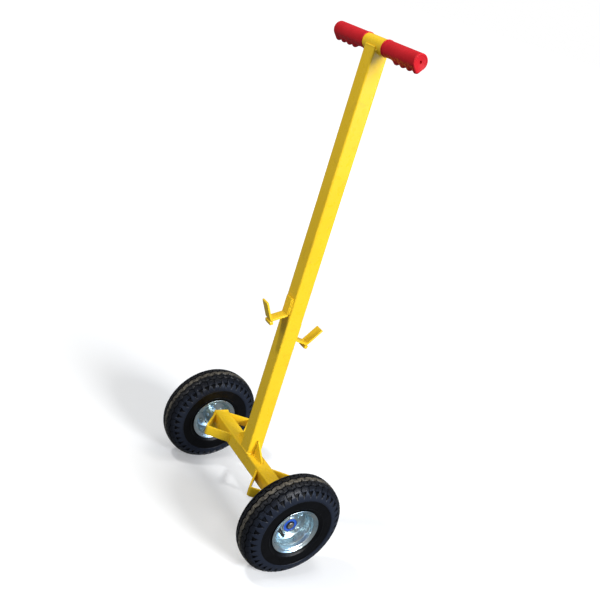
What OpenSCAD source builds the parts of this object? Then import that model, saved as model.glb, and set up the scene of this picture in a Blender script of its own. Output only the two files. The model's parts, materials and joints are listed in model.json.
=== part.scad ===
// Two-wheeled T-handle dolly with carrying hooks, welded steel frame and pneumatic wheels.
// Millimetres. +Z up along the pole, +X along the axle to the right wheel, +Y to the back.
// The origin is on the floor, straight below the middle of the axle.

/* [Frame] */

// Height of the T handle's axis above the floor
handle_height = 1200; // [1100:5:1300]

// Outside width of the square pole
pole_size = 40; // [30:1:50]

// Wall thickness of the pole and the cross tube
tube_wall = 3; // [2:0.5:4]

// Length of the cross tube
cross_length = 352; // [300:2:420]

// Height of the cross tube's section
cross_height = 36; // [30:1:45]

// Height of the cross tube's middle above the axle
cross_offset = 26; // [24:1:34]

// Thickness of the plate that closes each end of the cross tube
plate_thickness = 6; // [4:1:8]

// Length of each gusset along the cross tube
gusset_length = 45; // [30:1:60]

// Height of each gusset up the pole
gusset_height = 40; // [30:1:60]

/* [Bent flat bar] */

// Width of the flat bar in the brackets and hooks
bar_width = 25.4; // [20:0.1:30]

// Thickness of the flat bar
bar_thickness = 5; // [4:0.5:6]

// Distance of each bracket's point from the pole's axis, across the tube
bracket_reach = 69.5; // [55:0.5:85]

// Distance along the tube from the pole's axis to a bracket's inner foot
bracket_inner_foot = 79; // [70:1:90]

// Distance along the tube from the pole's axis to a bracket's outer foot
bracket_outer_foot = 174; // [160:1:175]

// Position along the tube of the points that lean outward
bracket_far_point = 139; // [120:1:150]

// Position along the tube of the points that lean inward
bracket_near_point = 119; // [100:1:130]

/* [Hooks] */

// Height of the front hook's arm where it leaves the pole
front_hook_height = 560; // [450:1:700]

// Height of the back hook's arm where it leaves the pole
back_hook_height = 495; // [400:1:650]

// Fall of the front hook's arm below the horizontal
front_arm_fall = 20.6; // [0:0.1:30]

// Fall of the back hook's arm below the horizontal
back_arm_fall = 16.8; // [0:0.1:30]

// Rise of the front hook's tip above the horizontal
front_tip_rise = 62.4; // [45:0.1:90]

// Rise of the back hook's tip above the horizontal
back_tip_rise = 50.3; // [45:0.1:90]

// Length of the front hook's arm on its middle line
front_arm_length = 42.2; // [30:0.1:60]

// Length of the back hook's arm on its middle line
back_arm_length = 37.5; // [30:0.1:60]

// Length of a hook's tip on its middle line
hook_tip_length = 51; // [30:0.5:70]

// Length of a hook's foot against the pole
hook_foot_length = 44; // [30:1:60]

// Side of the square bar under each hook
hook_bar_size = 9; // [6:1:12]

/* [Handle] */

// Length of the whole T handle over its grips
handle_length = 312; // [280:2:360]

// Outside diameter of the sleeve welded to the pole
sleeve_diameter = 34; // [30:0.5:38]

// Length of the sleeve
sleeve_length = 72; // [50:1:90]

// Outside diameter of the bar inside the sleeve and grips
bar_diameter = 25.4; // [22:0.1:28]

// Outside diameter of the grips, without their finger ridges
grip_diameter = 35.6; // [30:0.2:40]

// Depth of the finger ridges below the grips' round body
finger_ridge = 6.6; // [3:0.2:9]

// Distance from one finger ridge to the next
ridge_pitch = 23; // [18:0.5:26]

// Number of finger ridges on each grip
ridge_count = 4; // [3:1:5]

/* [Wheels] */

// Outside diameter of the tyres
tyre_diameter = 260; // [240:1:280]

// Width of the tyres at their widest
tyre_width = 78; // [70:1:90]

// Distance between the middles of the two wheels
track = 470; // [440:1:500]

// Outside diameter of the rim's flange
rim_diameter = 121; // [115:1:127]

// Width of the rim over its flanges
rim_width = 68; // [60:1:72]

// Sheet thickness of the rim
rim_sheet = 2; // [1.5:0.5:3]

// Diameter of the axle journals
axle_diameter = 15.88; // [14:0.01:20]

// Outside diameter of the ball bearings
bearing_diameter = 34.92; // [32:0.01:40]

// Width of the ball bearings
bearing_width = 11; // [9:0.5:13]

// Length of the hub from its inner end to the wheel's middle
hub_inset = 51; // [45:1:52]

// Number of bolts that hold the two rim halves together
rim_bolt_count = 5; // [3:1:6]

// Radius of the rim's bolt circle
rim_bolt_circle = 31.5; // [29:0.5:34]

// Turn of the right wheel's bolts about the axle
right_wheel_turn = 38; // [0:1:360]

// Turn of the left wheel's bolts about the axle
left_wheel_turn = 81; // [0:1:360]

/* [Hidden] */

$fn = 96;

YELLOW = [0.95, 0.78, 0.08];
RED = [0.78, 0.07, 0.12];
RUBBER = [0.05, 0.05, 0.06];
ZINC = [0.74, 0.78, 0.80];
STEEL = [0.55, 0.55, 0.56];
BLUE = [0.10, 0.35, 0.85];
BLACK = [0.08, 0.08, 0.09];

axle_z = tyre_diameter / 2;
wheel_x = track / 2;
cross_z = axle_z + cross_offset;
cross_top = cross_z + cross_height / 2;
cross_bottom = cross_z - cross_height / 2;
half = pole_size / 2;
corner_r = 4;
sleeve_r = sleeve_diameter / 2;
bar_r = bar_diameter / 2;
grip_r = grip_diameter / 2;
axle_r = axle_diameter / 2;
plate_out = cross_length / 2 + plate_thickness;
hub_out = 7.4;
hub_r = 20;
bearing_r = bearing_diameter / 2;
race_mid = (axle_r + bearing_r) / 2 - 0.15;
ball_r = 2.8;
outer_bearing = 5.6 - bearing_width;
inner_bearing = -hub_inset + 1.8;
rim_r = rim_diameter / 2;
rim_w = rim_width / 2;
seat_r = 50.6;
bend_r = 6;
valve_circle = 27.5;
valve_turn = -180;
stub_start = 148;

// ---------- shared shapes ----------

module soft_rect(a, b, r) {
  square([a - 2 * r, b], center = true);
  square([a, b - 2 * r], center = true);
  for (sa = [-1, 1])
    for (sb = [-1, 1])
      translate([sa * (a / 2 - r), sb * (b / 2 - r)]) circle(r = r, $fn = 48);
}

module square_tube(a, b, wall, length) {
  difference() {
    linear_extrude(height = length) soft_rect(a, b, corner_r);
    translate([0, 0, -1])
      linear_extrude(height = length + 2)
        soft_rect(a - 2 * wall, b - 2 * wall, corner_r - wall + 0.5);
  }
}

// Points of one side of a bend at q, where a bar on heading h turns by turn degrees.
// off is the distance of that side from the bar's middle line, positive to the left.
function bend_side(q, h, turn, off) =
  let (
    side = turn > 0 ? 1 : -1,
    back = bend_r * tan(abs(turn) / 2),
    c = [q[0] - back * cos(h) - side * bend_r * sin(h),
         q[1] - back * sin(h) + side * bend_r * cos(h)],
    rad = bend_r - side * off,
    steps = 12
  )
  [for (k = [0 : steps])
    let (a = h + turn * k / steps)
    [c[0] + side * rad * sin(a), c[1] - side * rad * cos(a)]];

function ahead(p, h, d) = [p[0] + d * cos(h), p[1] + d * sin(h)];

function beside(p, h, off) = [p[0] - off * sin(h), p[1] + off * cos(h)];

function backwards(list) = [for (k = [len(list) - 1 : -1 : 0]) list[k]];

// Flat bar standing w high: a first leg, one bend and a last leg, seen from above.
module bent_bar(p, h, len1, turn, len2, w, t) {
  q = ahead(p, h, len1);
  e = ahead(q, h + turn, len2);
  linear_extrude(height = w)
    polygon(concat(
      [beside(p, h, t / 2)],
      bend_side(q, h, turn, t / 2),
      [beside(e, h + turn, t / 2), beside(e, h + turn, -t / 2)],
      backwards(bend_side(q, h, turn, -t / 2)),
      [beside(p, h, -t / 2)]
    ));
}

// Three legs of flat bar joined by two bends.
module bent_bar3(p, h, len1, turn1, len2, turn2, len3, w, t) {
  h2 = h + turn1;
  h3 = h2 + turn2;
  q1 = ahead(p, h, len1);
  q2 = ahead(q1, h2, len2);
  e = ahead(q2, h3, len3);
  linear_extrude(height = w)
    polygon(concat(
      [beside(p, h, t / 2)],
      bend_side(q1, h, turn1, t / 2),
      bend_side(q2, h2, turn2, t / 2),
      [beside(e, h3, t / 2), beside(e, h3, -t / 2)],
      backwards(bend_side(q2, h2, turn2, -t / 2)),
      backwards(bend_side(q1, h, turn1, -t / 2)),
      [beside(p, h, -t / 2)]
    ));
}

// ---------- frame ----------

module pole_tube() {
  color(YELLOW)
    difference() {
      translate([0, 0, cross_top])
        square_tube(pole_size, pole_size, tube_wall, handle_height - 6 - cross_top);
      translate([-50, 0, handle_height])
        rotate([0, 90, 0]) cylinder(r = sleeve_r, h = 100);
    }
}

module cross_tube() {
  color(YELLOW)
    translate([-cross_length / 2, 0, cross_z])
      rotate([0, 90, 0])
        square_tube(cross_height, pole_size, tube_wall, cross_length);
}

module end_plate() {
  color(YELLOW)
    difference() {
      union() {
        translate([cross_length / 2, -half, axle_z])
          cube([plate_thickness, pole_size, cross_top - axle_z]);
        translate([cross_length / 2, 0, axle_z])
          rotate([0, 90, 0]) cylinder(r = half, h = plate_thickness);
      }
      translate([cross_length / 2 - 1, 0, axle_z])
        rotate([0, 90, 0]) cylinder(r = axle_r, h = plate_thickness + 2);
    }
}

module left_end_plate() {
  mirror([1, 0, 0]) end_plate();
}

module right_end_plate() {
  end_plate();
}

module gusset() {
  nose = 5;
  color(YELLOW)
    translate([0, bar_thickness / 2, cross_top])
      rotate([90, 0, 0])
        linear_extrude(height = bar_thickness)
          polygon([
            [half, 0],
            [half + gusset_length, 0],
            [half + gusset_length, nose],
            [half + nose, gusset_height],
            [half, gusset_height]
          ]);
}

module left_gusset() {
  mirror([1, 0, 0]) gusset();
}

module right_gusset() {
  gusset();
}

// A V of flat bar on the tube's front side, with its feet cut flush to the tube.
module bracket(point) {
  foot = [bracket_inner_foot, -half];
  tip = [point, -bracket_reach];
  end = [bracket_outer_foot, -half];
  in_dir = atan2(tip[1] - foot[1], tip[0] - foot[0]);
  out_dir = atan2(end[1] - tip[1], end[0] - tip[0]);
  extra = 8;
  color(YELLOW)
    difference() {
      translate([0, 0, cross_z - bar_width / 2])
        bent_bar(ahead(foot, in_dir, -extra), in_dir, norm(tip - foot) + extra,
                 out_dir - in_dir, norm(end - tip) + extra, bar_width, bar_thickness);
      translate([0, -half, cross_bottom - 1]) cube([300, 60, cross_height + 2]);
    }
}

module front_right_bracket() {
  bracket(bracket_far_point);
}

module front_left_bracket() {
  mirror([1, 0, 0]) bracket(bracket_near_point);
}

module back_left_bracket() {
  rotate([0, 0, 180]) bracket(bracket_far_point);
}

module back_right_bracket() {
  mirror([0, 1, 0]) bracket(bracket_near_point);
}

// A hook drawn in its own plane: first axis outward from the pole, second axis up.
module hook_shape(height, fall, rise, arm) {
  translate([0, 0, -bar_width / 2])
    bent_bar3([half + bar_thickness / 2, height + hook_foot_length], -90,
              hook_foot_length, 90 - fall, arm, fall + rise, hook_tip_length,
              bar_width, bar_thickness);
}

module hook_bar_shape(height, fall, arm, shift) {
  along = arm + shift;
  drop = bar_thickness / 2 + hook_bar_size / 2;
  translate([half + bar_thickness / 2 + along * cos(fall) - drop * sin(fall),
             height - along * sin(fall) - drop * cos(fall), 0])
    rotate([0, 0, -fall])
      cube([hook_bar_size, hook_bar_size, bar_width], center = true);
}

module to_back() {
  rotate([90, 0, 90]) children();
}

module to_front() {
  rotate([90, 0, -90]) children();
}

module front_hook() {
  color(YELLOW)
    to_front()
      hook_shape(front_hook_height, front_arm_fall, front_tip_rise, front_arm_length);
}

module front_hook_bar() {
  color(YELLOW)
    to_front()
      hook_bar_shape(front_hook_height, front_arm_fall, front_arm_length, 0);
}

module back_hook() {
  color(YELLOW)
    to_back()
      hook_shape(back_hook_height, back_arm_fall, back_tip_rise, back_arm_length);
}

module back_hook_bar() {
  color(YELLOW)
    to_back()
      hook_bar_shape(back_hook_height, back_arm_fall, back_arm_length, 1.5);
}

// ---------- T handle ----------

module along_x(from) {
  translate([from, 0, 0]) rotate([0, 90, 0]) children();
}

module handle_sleeve() {
  color(YELLOW)
    translate([0, 0, handle_height])
      along_x(-sleeve_length / 2)
        difference() {
          cylinder(r = sleeve_r, h = sleeve_length);
          translate([0, 0, -1]) cylinder(r = bar_r, h = sleeve_length + 2);
        }
}

module handle_bar() {
  inner = handle_length / 2 - 6;
  color(YELLOW)
    translate([0, 0, handle_height])
      along_x(-inner)
        difference() {
          cylinder(r = bar_r, h = 2 * inner);
          translate([0, 0, -1]) cylinder(r = bar_r - 2.5, h = 2 * inner + 2);
        }
}

module grip() {
  start = sleeve_length / 2 + 0.5;
  length = handle_length / 2 - start;
  soft = 3;
  ridge_w = 10;
  color(RED)
    translate([start, 0, handle_height])
      difference() {
        union() {
          along_x(0)
            rotate_extrude()
              polygon([
                [0, 0], [grip_r - 1.2, 0], [grip_r, 1.2], [grip_r, length - soft],
                [grip_r - 0.9, length - 0.9], [grip_r - soft, length], [0, length]
              ]);
          for (k = [0 : ridge_count - 1])
            translate([length - 6 - k * ridge_pitch, 0, 0])
              finger_ridge_shape(ridge_w);
          translate([16, -7, -grip_r - finger_ridge * 0.35])
            cube([length - 20, 14, finger_ridge]);
        }
        along_x(-1) cylinder(r = bar_r, h = length - 5);
        along_x(-1) cylinder(r = 2, h = length + 2, $fn = 32);
      }
}

// One finger ridge: a rounded bar across the underside of the grip.
module finger_ridge_shape(w) {
  y_half = 9;
  low = -grip_r - finger_ridge + w / 2;
  translate([0, -y_half, low])
    rotate([-90, 0, 0]) cylinder(r = w / 2, h = 2 * y_half, $fn = 48);
  translate([-w / 2, -y_half, low]) cube([w, 2 * y_half, 9]);
}

module right_grip() {
  grip();
}

module left_grip() {
  mirror([1, 0, 0]) grip();
}

// ---------- welds ----------

module bead(length, r) {
  rotate([0, 90, 0]) cylinder(r = r, h = length, $fn = 32);
}

// Fillets on the pole's sides, and proud seams where its front and back meet the tube's.
module pole_base_weld() {
  side_r = 2.4;
  seam_r = 3.4;
  run = pole_size - 2 * corner_r;
  color(YELLOW)
    difference() {
      for (s = [-1, 1]) {
        translate([-run / 2, s * (half - corner_r / 2), cross_top]) bead(run, seam_r);
        translate([s * half, -run / 2, cross_top]) rotate([0, 0, 90]) bead(run, side_r);
      }
      translate([0, 0, cross_top - 10])
        linear_extrude(height = 30) soft_rect(pole_size, pole_size, corner_r);
      translate([-pole_size, -half, cross_bottom]) cube([2 * pole_size, pole_size, cross_height]);
      translate([-pole_size, -bar_thickness / 2 - 0.2, cross_top - 10])
        cube([2 * pole_size, bar_thickness + 0.4, 30]);
    }
}

module axle_welds() {
  color(YELLOW)
    for (s = [0, 1])
      mirror([s, 0, 0])
        translate([cross_length / 2, 0, axle_z])
          rotate([0, -90, 0])
            difference() {
              cylinder(r1 = axle_r + 3, r2 = axle_r + 0.4, h = 3);
              translate([0, 0, -1]) cylinder(r = axle_r, h = 5);
              translate([cross_bottom - axle_z, -20, -1]) cube([20, 40, 6]);
            }
}

// ---------- wheel, drawn with its middle plane at 0 and its outer side toward +X ----------

module place_right() {
  translate([wheel_x, 0, axle_z]) children();
}

module place_left() {
  mirror([1, 0, 0]) translate([wheel_x, 0, axle_z]) children();
}

module turned() {
  rotate([0, 90, 0]) rotate_extrude() children();
}

module ring(from, to, r_in, r_out) {
  along_x(from)
    difference() {
      cylinder(r = r_out, h = to - from);
      translate([0, 0, -1]) cylinder(r = r_in, h = to - from + 2);
    }
}

module tyre() {
  w = tyre_width / 2;
  top = tyre_diameter / 2;
  wall = 6;
  half_out = [
    [seat_r + 1.6, 20], [seat_r + 2.2, rim_w - 6.6], [rim_r - 5.5, rim_w - 4.9],
    [rim_r + 0.5, rim_w - 3.4], [rim_r + 4, rim_w - 1.4], [rim_r + 12, w - 1.6],
    [rim_r + 22, w - 0.4], [top - 36, w], [top - 25, w - 2], [top - 16, w - 6.5],
    [top - 10.5, w - 11], [top - 6.5, w - 15.5], [top - 3.5, w - 17.5]
  ];
  half_in = [
    [top - 14, w - 21], [top - 21, w - 13], [top - 30, w - 7.5], [top - 38, w - 6],
    [rim_r + 20, w - 6.6], [rim_r + 10, w - 8.6], [rim_r + 2, rim_w - 9],
    [seat_r + 5, rim_w - 13], [seat_r + 1.6, 19.9]
  ];
  color(RUBBER)
    turned()
      polygon(concat(
        half_out,
        [[top - 2.4, 20], [top - 1.5, 14], [top - 7, 13.4], [top - 7, 11.4],
         [top - 1, 10.8], [top - 0.3, 5.6], [top - 6.4, 5.2], [top - 6.4, 3.6],
         [top, 3.2], [top, -3.2], [top - 6.4, -3.6], [top - 6.4, -5.2],
         [top - 0.3, -5.6], [top - 1, -10.8], [top - 7, -11.4], [top - 7, -13.4],
         [top - 1.5, -14], [top - 2.4, -20]],
        [for (k = [len(half_out) - 1 : -1 : 0]) [half_out[k][0], -half_out[k][1]]],
        [for (k = [len(half_in) - 1 : -1 : 0]) [half_in[k][0], -half_in[k][1]]],
        [[top - 12.5, -8], [top - 12, 0], [top - 12.5, 8]],
        half_in
      ));
}

module inner_tube() {
  mid = seat_r + 30;
  color(BLACK)
    rotate([0, 90, 0])
      rotate_extrude()
        translate([mid + 2.5, 0])
          difference() {
            circle(r = 24.5, $fn = 64);
            circle(r = 22.8, $fn = 64);
          }
}

// One half of the rim, from the middle plane to its flange.
module rim_half_shape() {
  t = rim_sheet;
  turned()
    polygon([
      [hub_r, 0.05], [43.4, 0.05], [45.2, 1.6], [48.6, 15.6], [50.2, 17.6],
      [seat_r + 0.5, 19.4], [seat_r + 1.1, rim_w - 6.6], [seat_r + 2.4, rim_w - 5.2],
      [rim_r - 4, rim_w - 3.9], [rim_r - 1.2, rim_w - 2.4], [rim_r, rim_w - 1],
      [rim_r - 0.6, rim_w], [rim_r - 2, rim_w - 0.2], [rim_r - 4.6, rim_w - 1.8],
      [seat_r + 1.8, rim_w - 3.2], [seat_r - 0.4, rim_w - 4.8],
      [seat_r - 0.9, rim_w - 6.6], [seat_r - 1.5, 19.9], [48.4, 19.2],
      [46.7, 16.2], [43.4, 2.9], [42.2, t + 0.05], [hub_r, t + 0.05]
    ]);
}

module bolt_spots(turn) {
  for (k = [0 : rim_bolt_count - 1])
    rotate([turn + k * 360 / rim_bolt_count, 0, 0])
      translate([0, rim_bolt_circle, 0]) children();
}

module valve_spot(turn) {
  rotate([turn + valve_turn, 0, 0]) translate([0, valve_circle, 0]) children();
}

module rim_outer_half(turn) {
  color(ZINC)
    difference() {
      rim_half_shape();
      bolt_spots(turn) along_x(-1) cylinder(r = 4.2, h = 5, $fn = 32);
      valve_spot(turn) along_x(-1) cylinder(r = 4.1, h = 5, $fn = 32);
    }
}

module rim_inner_half(turn) {
  color(ZINC)
    difference() {
      mirror([1, 0, 0]) rim_half_shape();
      bolt_spots(turn) along_x(-4) cylinder(r = 4.2, h = 5, $fn = 32);
      valve_spot(turn) along_x(-4) cylinder(r = 4.1, h = 5, $fn = 32);
    }
}

module hub() {
  color(ZINC)
    along_x(-hub_inset)
      difference() {
        cylinder(r = hub_r, h = hub_inset + hub_out);
        translate([0, 0, -1]) cylinder(r = 15, h = hub_inset + hub_out + 2);
        translate([0, 0, -1]) cylinder(r = bearing_r, h = 1 + 1.8 + bearing_width);
        translate([0, 0, hub_inset + outer_bearing]) cylinder(r = bearing_r, h = 30);
      }
}

module groove_ring(r) {
  along_x(bearing_width / 2)
    rotate_extrude() translate([race_mid, 0]) circle(r = r, $fn = 48);
}

module both_bearings() {
  translate([outer_bearing, 0, 0]) children();
  translate([inner_bearing, 0, 0]) children();
}

module bearing_outer_races() {
  color(STEEL)
    both_bearings()
      difference() {
        ring(0, bearing_width, race_mid + 2.1, bearing_r);
        groove_ring(ball_r + 0.06);
      }
}

module bearing_inner_races() {
  color(STEEL)
    both_bearings()
      difference() {
        ring(0, bearing_width, axle_r, race_mid - 2.1);
        groove_ring(ball_r + 0.06);
      }
}

module bearing_balls() {
  count = 9;
  color(STEEL)
    both_bearings()
      for (k = [0 : count - 1])
        rotate([k * 360 / count, 0, 0])
          translate([bearing_width / 2, race_mid, 0]) sphere(r = ball_r, $fn = 48);
}

module bearing_seals() {
  color(BLUE) {
    ring(5.6, 6.9, race_mid - 1.8, bearing_r);
    ring(-hub_inset + 0.5, -hub_inset + 1.8, race_mid - 1.8, bearing_r);
  }
}

module bearing_spacer() {
  color(STEEL)
    ring(inner_bearing + bearing_width, outer_bearing, axle_r, axle_r + 1.8);
}

module axle_washers() {
  gap_in = plate_out - wheel_x;
  color(ZINC) {
    ring(5.6, 7.5, axle_r, race_mid - 2.3);
    ring(gap_in, inner_bearing, axle_r, race_mid - 2.3);
  }
}

module retaining_ring() {
  color(BLACK)
    along_x(7.5)
      difference() {
        union() {
          cylinder(r = race_mid - 2.2, h = 1.2);
          for (a = [-14, 14])
            rotate([0, 0, a]) translate([race_mid - 3.4, 0, 0]) cylinder(r = 2, h = 1.2, $fn = 32);
        }
        translate([0, 0, -1]) cylinder(r = axle_r - 0.7, h = 4);
        translate([0, -1.6, -1]) cube([20, 3.2, 4]);
      }
}

module stub_axle() {
  from = stub_start - wheel_x;
  to = 10.6;
  color(STEEL)
    along_x(from)
      difference() {
        union() {
          cylinder(r = axle_r, h = to - from - 0.8);
          translate([0, 0, to - from - 0.8])
            cylinder(r1 = axle_r, r2 = axle_r - 0.8, h = 0.8);
        }
        translate([0, 0, 7.4 - from])
          difference() {
            cylinder(r = axle_r + 2, h = 1.4);
            translate([0, 0, -1]) cylinder(r = axle_r - 0.75, h = 4);
          }
      }
}

module rim_bolts(turn) {
  t = rim_sheet + 0.05;
  color(ZINC)
    bolt_spots(turn) {
      along_x(t) cylinder(r = 7.5, h = 5.3, $fn = 6);
      along_x(-t - 8.6) cylinder(r = 4, h = t + 9, $fn = 32);
      along_x(0) cylinder(r = 4, h = t + 0.4, $fn = 32);
    }
}

module rim_nuts(turn) {
  t = rim_sheet + 0.05;
  color(ZINC)
    bolt_spots(turn)
      along_x(-t - 6.5)
        difference() {
          cylinder(r = 7.5, h = 6.5, $fn = 6);
          translate([0, 0, -1]) cylinder(r = 4, h = 9, $fn = 32);
        }
}

module valve_stem(turn) {
  color(BLACK)
    valve_spot(turn) {
      along_x(-4.1)
        rotate_extrude()
          polygon([
            [0, 0], [5.5, 0], [5.5, 2.05], [4.1, 2.05], [4.1, 6.15], [6, 6.15],
            [5.2, 8.4], [3.7, 10.4], [3.4, 17.2], [2.6, 17.2], [2.6, 20.6], [0, 20.6]
          ]);
    }
}

module valve_cap(turn) {
  color(BLACK)
    valve_spot(turn)
      along_x(13.3)
        difference() {
          rotate_extrude()
            polygon([[0, 0], [3.9, 0], [3.9, 7.6], [3.3, 8.8], [2.2, 9.4], [0, 9.4]]);
          translate([0, 0, -1]) cylinder(r = 2.6, h = 4.5, $fn = 32);
        }
}

module left_stub_axle() { place_left() stub_axle(); }
module right_stub_axle() { place_right() stub_axle(); }
module left_bearing_inner_races() { place_left() bearing_inner_races(); }
module right_bearing_inner_races() { place_right() bearing_inner_races(); }
module left_bearing_spacer() { place_left() bearing_spacer(); }
module right_bearing_spacer() { place_right() bearing_spacer(); }
module left_axle_washers() { place_left() axle_washers(); }
module right_axle_washers() { place_right() axle_washers(); }
module left_retaining_ring() { place_left() retaining_ring(); }
module right_retaining_ring() { place_right() retaining_ring(); }
module left_tyre() { place_left() tyre(); }
module right_tyre() { place_right() tyre(); }
module left_inner_tube() { place_left() inner_tube(); }
module right_inner_tube() { place_right() inner_tube(); }
module left_rim_outer_half() { place_left() rim_outer_half(left_wheel_turn); }
module right_rim_outer_half() { place_right() rim_outer_half(right_wheel_turn); }
module left_rim_inner_half() { place_left() rim_inner_half(left_wheel_turn); }
module right_rim_inner_half() { place_right() rim_inner_half(right_wheel_turn); }
module left_hub() { place_left() hub(); }
module right_hub() { place_right() hub(); }
module left_bearing_outer_races() { place_left() bearing_outer_races(); }
module right_bearing_outer_races() { place_right() bearing_outer_races(); }
module left_bearing_balls() { place_left() bearing_balls(); }
module right_bearing_balls() { place_right() bearing_balls(); }
module left_bearing_seals() { place_left() bearing_seals(); }
module right_bearing_seals() { place_right() bearing_seals(); }
module left_rim_bolts() { place_left() rim_bolts(left_wheel_turn); }
module right_rim_bolts() { place_right() rim_bolts(right_wheel_turn); }
module left_rim_nuts() { place_left() rim_nuts(left_wheel_turn); }
module right_rim_nuts() { place_right() rim_nuts(right_wheel_turn); }
module left_valve_stem() { place_left() valve_stem(left_wheel_turn); }
module right_valve_stem() { place_right() valve_stem(right_wheel_turn); }
module left_valve_cap() { place_left() valve_cap(left_wheel_turn); }
module right_valve_cap() { place_right() valve_cap(right_wheel_turn); }

pole_tube();
cross_tube();
left_end_plate();
right_end_plate();
left_gusset();
right_gusset();
front_left_bracket();
front_right_bracket();
back_left_bracket();
back_right_bracket();
front_hook();
front_hook_bar();
back_hook();
back_hook_bar();
handle_sleeve();
handle_bar();
left_grip();
right_grip();
pole_base_weld();
axle_welds();
left_stub_axle();
right_stub_axle();
left_bearing_inner_races();
right_bearing_inner_races();
left_bearing_spacer();
right_bearing_spacer();
left_axle_washers();
right_axle_washers();
left_retaining_ring();
right_retaining_ring();
left_tyre();
right_tyre();
left_inner_tube();
right_inner_tube();
left_rim_outer_half();
right_rim_outer_half();
left_rim_inner_half();
right_rim_inner_half();
left_hub();
right_hub();
left_bearing_outer_races();
right_bearing_outer_races();
left_bearing_balls();
right_bearing_balls();
left_bearing_seals();
right_bearing_seals();
left_rim_bolts();
right_rim_bolts();
left_rim_nuts();
right_rim_nuts();
left_valve_stem();
right_valve_stem();
left_valve_cap();
right_valve_cap();
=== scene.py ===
"""Looks of a two-wheel T-handle dolly: yellow welded frame, red grips, air-filled wheels on zinc rims.

Row frame, metres: +Z up the pole, +X along the axle to the right wheel, +Y to the back.
"""
import json
import math

import bmesh
import bpy
from mathutils import Matrix, Vector, noise


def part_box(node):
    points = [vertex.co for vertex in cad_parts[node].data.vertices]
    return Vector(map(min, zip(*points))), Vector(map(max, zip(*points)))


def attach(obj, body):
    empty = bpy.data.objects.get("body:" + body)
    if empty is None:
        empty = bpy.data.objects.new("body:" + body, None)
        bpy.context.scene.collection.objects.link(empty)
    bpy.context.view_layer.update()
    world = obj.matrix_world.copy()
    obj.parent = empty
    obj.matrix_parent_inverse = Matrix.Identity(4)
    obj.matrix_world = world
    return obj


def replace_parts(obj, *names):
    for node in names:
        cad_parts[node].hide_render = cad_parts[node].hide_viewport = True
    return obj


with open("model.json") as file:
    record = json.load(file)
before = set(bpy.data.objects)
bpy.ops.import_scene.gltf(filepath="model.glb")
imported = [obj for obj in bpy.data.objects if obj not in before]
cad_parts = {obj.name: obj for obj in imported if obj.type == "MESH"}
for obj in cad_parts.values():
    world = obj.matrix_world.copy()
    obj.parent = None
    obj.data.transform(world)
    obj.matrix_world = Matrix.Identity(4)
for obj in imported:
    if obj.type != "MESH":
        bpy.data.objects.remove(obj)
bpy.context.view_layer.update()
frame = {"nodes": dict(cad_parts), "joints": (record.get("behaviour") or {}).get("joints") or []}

MM = 0.001
NODES = frame["nodes"]
X, Y, Z = Vector((1, 0, 0)), Vector((0, 1, 0)), Vector((0, 0, 1))
SIDES = {1: "right", -1: "left"}

# ---------- places read from the frame ----------

axle = Vector(frame["joints"][1]["pos_m"])
WHEEL_X = abs(axle.x)
AXLE_Z = axle.z

pole_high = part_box("pole_tube")[1]
tube_low, tube_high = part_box("cross_tube")
sleeve_low, sleeve_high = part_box("handle_sleeve")
bar_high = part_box("handle_bar")[1]
grip_low, grip_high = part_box("right_grip")
plate_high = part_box("right_end_plate")[1]

POLE_HALF = pole_high.x
TUBE_TOP = tube_high.z
TUBE_BOTTOM = tube_low.z
TUBE_END = tube_high.x
TUBE_MID = (TUBE_TOP + TUBE_BOTTOM) / 2
HANDLE_Z = (sleeve_low.z + sleeve_high.z) / 2
SLEEVE_R = sleeve_high.y
BAR_R = bar_high.y
PLATE_OUT = plate_high.x

# ---------- design values ----------

BAR_WIDTH = 25.4 * MM
BAR_THICKNESS = 5 * MM
BAR_EDGE = 0.9 * MM
BEND_R = 6 * MM
BAR_CREASE = 50

BRACKET_FEET = (79 * MM, 174 * MM)
BRACKET_REACH = 69.5 * MM
BRACKET_BURY = 4.5 * MM
# sides along X and Y, and how far along X the bracket's tip is
BRACKETS = {
    "front_right_bracket": (1, -1, 139 * MM),
    "front_left_bracket": (-1, -1, 119 * MM),
    "back_right_bracket": (1, 1, 119 * MM),
    "back_left_bracket": (-1, 1, 139 * MM),
}

# side of the pole, height, arm's fall and tip's rise in degrees, arm's length, bar's extra distance
HOOKS = {
    "front": (-1, 560 * MM, 20.6, 62.4, 42.2 * MM, 0),
    "back": (1, 495 * MM, 16.8, 50.3, 37.5 * MM, 1.5 * MM),
}
HOOK_FOOT = 44 * MM
HOOK_TIP = 51 * MM
HOOK_BAR = 9 * MM

GUSSET_LENGTH = 45 * MM
GUSSET_HEIGHT = 40 * MM
GUSSET_NOSE = 5 * MM
PLATE_EDGE = 0.8 * MM
PLATE_SINK = 0.4 * MM

# in millimetres, like all profiles of the wheels
TREAD_SHIFT = 3.0
TREAD_REPEATS = 38


# ---------- mesh helpers ----------

def show(name, mesh, material):
    """An object in the scene that shows a mesh with this material."""
    mesh.materials.append(material)
    shown = bpy.data.objects.new(name, mesh)
    bpy.context.scene.collection.objects.link(shown)
    return shown


def dress(name, mesh, slot, body):
    """A smooth piece from a mesh: it rides on a body and takes its finish from a slot."""
    mesh.shade_smooth()
    piece = show(name, mesh, FINISHES[slot])
    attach(piece, body)
    return piece


def add_piece(name, verts, faces, slot, body="frame"):
    """The same from points and faces."""
    mesh = bpy.data.meshes.new(name)
    mesh.from_pydata([tuple(v) for v in verts], [], faces)
    return dress(name, mesh, slot, body)


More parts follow.
